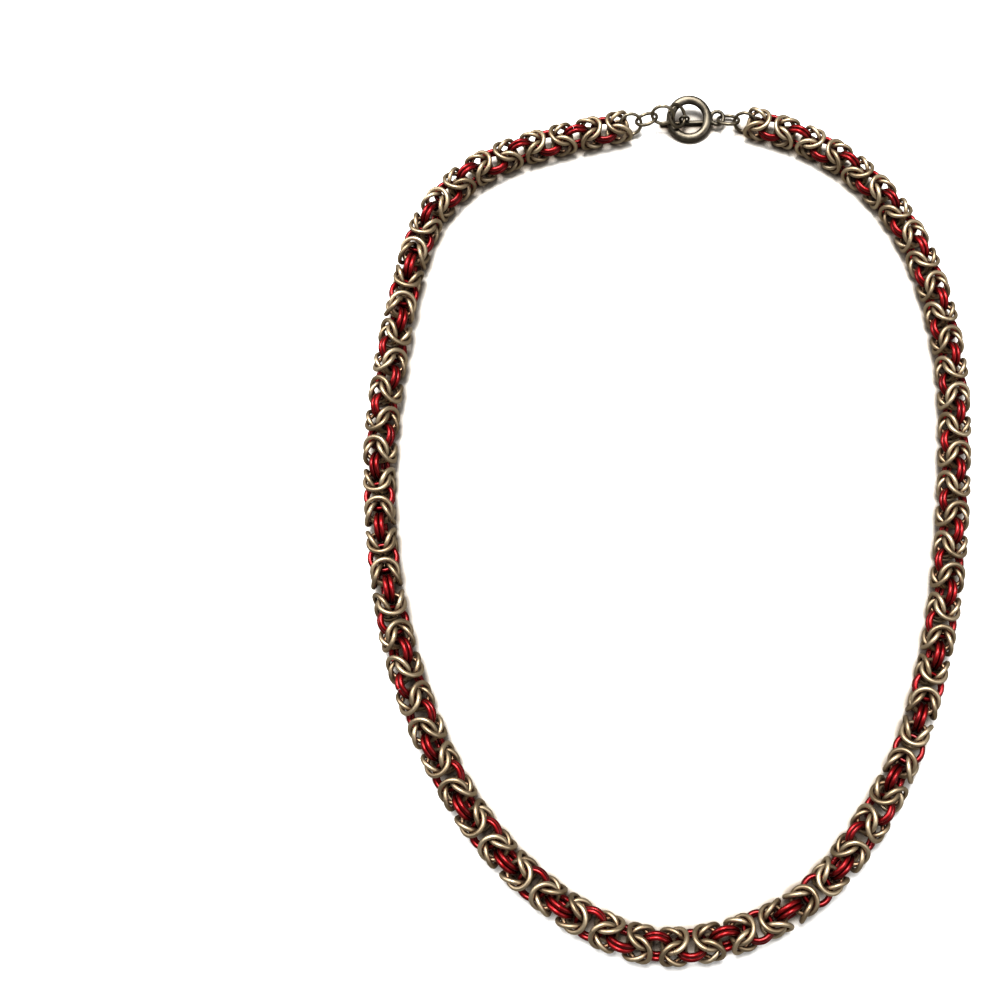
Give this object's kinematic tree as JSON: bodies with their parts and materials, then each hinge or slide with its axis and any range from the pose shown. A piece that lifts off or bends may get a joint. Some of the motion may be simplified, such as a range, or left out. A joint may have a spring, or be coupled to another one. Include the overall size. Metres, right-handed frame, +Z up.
{
  "type": "necklace",
  "caption": "Chainmail necklace of round wire rings: knots of silver-coloured links joined by pairs of red ones, closed with a toggle ring and bar, laid flat as a loop.",
  "frame": {"origin": "middle of the box round the necklace as it lies, at the height of the table under it", "axes": "+Y from the front of the necklace to its clasp, +X to the right as seen from above with the clasp at the top, +Z up from the table"},
  "size_m": [0.1412, 0.2052, 0.0086],
  "materials": {
    "red_wire": "glossy",
    "silver_wire": "satin",
    "clasp_metal": "satin"
  },
  "bodies": {
    "root": {"connector_links": "red_wire", "knot_links": "silver_wire", "toggle_ring": "clasp_metal", "toggle_bar": "clasp_metal", "left_link_1": "clasp_metal", "left_link_2": "clasp_metal", "left_link_3": "clasp_metal", "left_link_4": "clasp_metal", "right_link_1": "clasp_metal", "right_link_2": "clasp_metal"}
  },
  "joints": []
}
